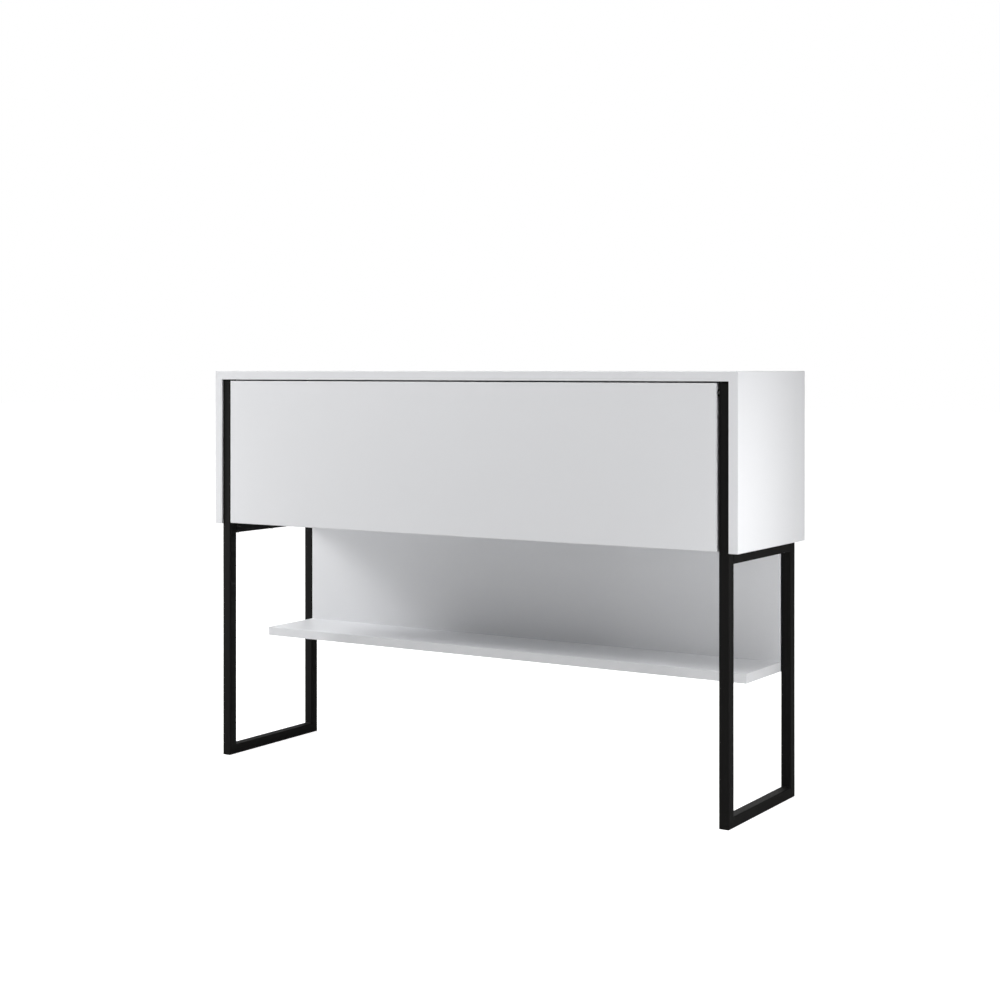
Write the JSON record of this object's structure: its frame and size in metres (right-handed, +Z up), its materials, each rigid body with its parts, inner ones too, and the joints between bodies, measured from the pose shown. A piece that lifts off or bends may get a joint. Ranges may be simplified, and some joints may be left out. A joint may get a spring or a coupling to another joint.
{
  "type": "console table",
  "caption": "Long shallow white console table: a boxed carcass with a lift-up flap on black square-tube side frames, with a low shelf and back panel.",
  "frame": {"origin": "on the floor, under the middle of the table", "axes": "+X to the right along the width, +Y to the back, +Z up; the door faces -Y"},
  "size_m": [1.19, 0.3, 0.8],
  "materials": {
    "white_board": "matt white melamine-faced particle board",
    "white_hardboard": "white-faced thin fibreboard",
    "black_steel": "black powder coat, fine and satin",
    "zinc_steel": "bright zinc plate",
    "spring_steel": "oiled spring wire",
    "grey_plastic": "fine-grained moulded plastic",
    "beech": "bare beech",
    "magnet": "nickel plate"
  },
  "bodies": {
    "carcass": {"back_panel": "white_hardboard", "bottom_panel": "white_board", "cam_bolts": "zinc_steel", "cam_locks": "zinc_steel", "cross_bar_left": "black_steel", "cross_bar_right": "black_steel", "dowels": "beech", "foot_bar_left": "black_steel", "foot_bar_right": "black_steel", "frame_screws": "zinc_steel", "front_upright_left": "black_steel", "front_upright_right": "black_steel", "latch_bodies": "grey_plastic", "latch_springs": "spring_steel", "lower_back_panel": "white_board", "mitre_splines": "beech", "panel_tabs": "black_steel", "pivot_pins": "zinc_steel", "rear_leg_left": "black_steel", "rear_leg_right": "black_steel", "shelf": "white_board", "shelf_screws": "zinc_steel", "side_panel_left": "white_board", "side_panel_right": "white_board", "stay_cover_left": "grey_plastic", "stay_cover_right": "grey_plastic", "stay_housing_left": "grey_plastic", "stay_housing_right": "grey_plastic", "stay_screws": "zinc_steel", "stay_springs": "spring_steel", "tab_screws": "zinc_steel", "top_panel": "white_board"},
    "door": {"door_panel": "white_board", "door_bushes": "grey_plastic", "strike_plates": "zinc_steel", "door_bracket_left": "zinc_steel", "door_bracket_right": "zinc_steel", "bracket_pins": "zinc_steel", "bracket_screws": "zinc_steel"},
    "stay_arm_left": {"stay_arm_left": "zinc_steel", "stay_arm_pin_left": "zinc_steel"},
    "stay_link_left": {"stay_link_left": "zinc_steel"},
    "latch_plunger_left": {"latch_plunger_left": "grey_plastic", "latch_magnet_left": "magnet"},
    "stay_arm_right": {"stay_arm_right": "zinc_steel", "stay_arm_pin_right": "zinc_steel"},
    "stay_link_right": {"stay_link_right": "zinc_steel"},
    "latch_plunger_right": {"latch_plunger_right": "grey_plastic", "latch_magnet_right": "magnet"}
  },
  "joints": [
    {"name": "door_lift", "type": "hinge", "parent": "carcass", "child": "door", "pos_m": [0, -0.141, 0.762], "axis": [-1, 0, 0], "range_deg": [0, 90]},
    {"name": "stay_arm_turn_left", "type": "hinge", "parent": "carcass", "child": "stay_arm_left", "pos_m": [-0.5515, -0.035, 0.748], "axis": [-1, 0, 0], "range_deg": [0, 90]},
    {"name": "stay_link_turn_left", "type": "hinge", "parent": "stay_arm_left", "child": "stay_link_left", "pos_m": [-0.5465, -0.009, 0.676], "axis": [-1, 0, 0], "range_deg": [-90, 0]},
    {"name": "latch_push_left", "type": "slide", "parent": "carcass", "child": "latch_plunger_left", "axis": [0, 1, 0], "range_m": [0, 0.002], "stiffness_N_per_m": 200},
    {"name": "stay_arm_turn_right", "type": "hinge", "parent": "carcass", "child": "stay_arm_right", "pos_m": [0.5515, -0.035, 0.748], "axis": [-1, 0, 0], "range_deg": [0, 90]},
    {"name": "stay_link_turn_right", "type": "hinge", "parent": "stay_arm_right", "child": "stay_link_right", "pos_m": [0.5465, -0.009, 0.676], "axis": [-1, 0, 0], "range_deg": [-90, 0]},
    {"name": "latch_push_right", "type": "slide", "parent": "carcass", "child": "latch_plunger_right", "axis": [0, 1, 0], "range_m": [0, 0.002], "stiffness_N_per_m": 200}
  ],
  "couplings": [
    {"joint": "stay_arm_turn_left", "follows": "door_lift", "ratio": 1},
    {"joint": "stay_link_turn_left", "follows": "door_lift", "ratio": -1},
    {"joint": "stay_arm_turn_right", "follows": "door_lift", "ratio": 1},
    {"joint": "stay_link_turn_right", "follows": "door_lift", "ratio": -1}
  ]
}
